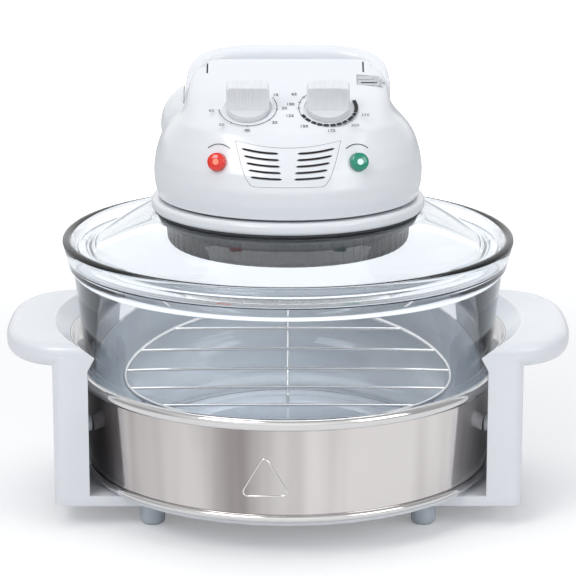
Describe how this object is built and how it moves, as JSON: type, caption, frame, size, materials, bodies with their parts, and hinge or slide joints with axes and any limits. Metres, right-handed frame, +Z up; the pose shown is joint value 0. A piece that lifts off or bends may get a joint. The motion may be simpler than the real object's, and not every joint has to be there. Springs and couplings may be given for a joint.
{
  "type": "halogen oven",
  "caption": "Tabletop halogen oven with a glass bowl in a steel band, side carrying handles and a lift-off glass lid with a power head, two dials and a folding handle",
  "frame": {"origin": "on the table, under the middle of the bowl", "axes": "+Z up, +X to the right along the two side handles, the control panel faces -Y"},
  "size_m": [0.414, 0.331, 0.3318],
  "materials": {
    "white_plastic": "smooth white moulding",
    "grey_plastic": "fine satin",
    "knob_plastic": "satin, ribbed grip",
    "black_plastic": "satin",
    "drum_steel": "polished band",
    "trim_steel": "bright rolled trim",
    "dark_steel": "dark heat-proof coating",
    "cast_aluminium": "plain",
    "clear_glass": "clear",
    "quartz_glass": "clear tube",
    "ceramic": "matt",
    "silicone": "matt",
    "foot_rubber": "matt",
    "red_lens": "clear red",
    "green_lens": "clear green"
  },
  "bodies": {
    "base": {"side_housing_left": "white_plastic", "side_housing_right": "white_plastic", "base_pan": "white_plastic", "foot_front_left": "foot_rubber", "foot_front_right": "foot_rubber", "foot_rear_left": "foot_rubber", "foot_rear_right": "foot_rubber", "drum_band": "drum_steel", "top_trim_ring": "trim_steel", "bottom_trim_ring": "trim_steel", "heat_shield_left": "trim_steel", "heat_shield_right": "trim_steel"},
    "bowl": {"glass_bowl": "clear_glass"},
    "rack": {"wire_rack": "trim_steel"},
    "head": {"glass_lid": "clear_glass", "lid_gasket": "silicone", "head_collar": "white_plastic", "lower_housing": "grey_plastic", "upper_shell": "white_plastic", "terminal_cover": "white_plastic", "cord_gland": "black_plastic", "vent_grille": "white_plastic", "power_lens": "red_lens", "heat_lens": "green_lens", "power_lamp": "quartz_glass", "heat_lamp": "quartz_glass", "pivot_pin_left": "trim_steel", "pivot_pin_right": "trim_steel", "safety_microswitch": "black_plastic", "timer_unit": "black_plastic", "thermostat_unit": "black_plastic", "terminal_block": "ceramic", "motor_bracket": "trim_steel", "fan_motor": "dark_steel", "clamp_ring": "trim_steel", "heater_housing": "dark_steel", "reflector": "trim_steel", "halogen_tube": "quartz_glass", "tube_holder_left": "ceramic", "tube_holder_right": "ceramic", "element_guard": "trim_steel", "sensor_bulb": "cast_aluminium"},
    "timer_dial": {"timer_knob": "knob_plastic", "timer_spindle": "cast_aluminium"},
    "thermostat_dial": {"thermostat_knob": "knob_plastic", "thermostat_spindle": "cast_aluminium"},
    "bail": {"bail_handle": "white_plastic"},
    "plunger": {"safety_plunger": "grey_plastic"},
    "fans": {"motor_shaft": "trim_steel", "convection_fan": "cast_aluminium", "cooling_fan": "cast_aluminium"}
  },
  "joints": [
    {"name": "bowl_lift", "type": "slide", "parent": "base", "child": "bowl", "axis": [0, 0, 1], "range_m": [0, 0.13]},
    {"name": "rack_lift", "type": "slide", "parent": "bowl", "child": "rack", "axis": [0, 0, 1], "range_m": [0, 0.08]},
    {"name": "lid_lift", "type": "slide", "parent": "bowl", "child": "head", "axis": [0, 0, 1], "range_m": [0, 0.15]},
    {"name": "handle_fold", "type": "hinge", "parent": "head", "child": "bail", "pos_m": [0, 0.005, 0.3057], "axis": [1, 0, 0], "range_deg": [0, 68]},
    {"name": "plunger_slide", "type": "slide", "parent": "head", "child": "plunger", "axis": [0, 0, 1], "range_m": [0, 0.0031]},
    {"name": "timer_turn", "type": "hinge", "parent": "head", "child": "timer_dial", "pos_m": [-0.0284, -0.0495, 0.30277], "axis": [0, 0.4695, -0.8829], "range_deg": [0, 300]},
    {"name": "thermostat_turn", "type": "hinge", "parent": "head", "child": "thermostat_dial", "pos_m": [0.0284, -0.0495, 0.30277], "axis": [0, 0.4695, -0.8829], "range_deg": [0, 280]},
    {"name": "fan_spin", "type": "hinge", "parent": "head", "child": "fans", "pos_m": [0, 0, 0.235], "axis": [0, 0, 1], "continuous": true}
  ],
  "couplings": [
    {"joint": "plunger_slide", "follows": "handle_fold", "m_per_rad": 0.002527}
  ]
}
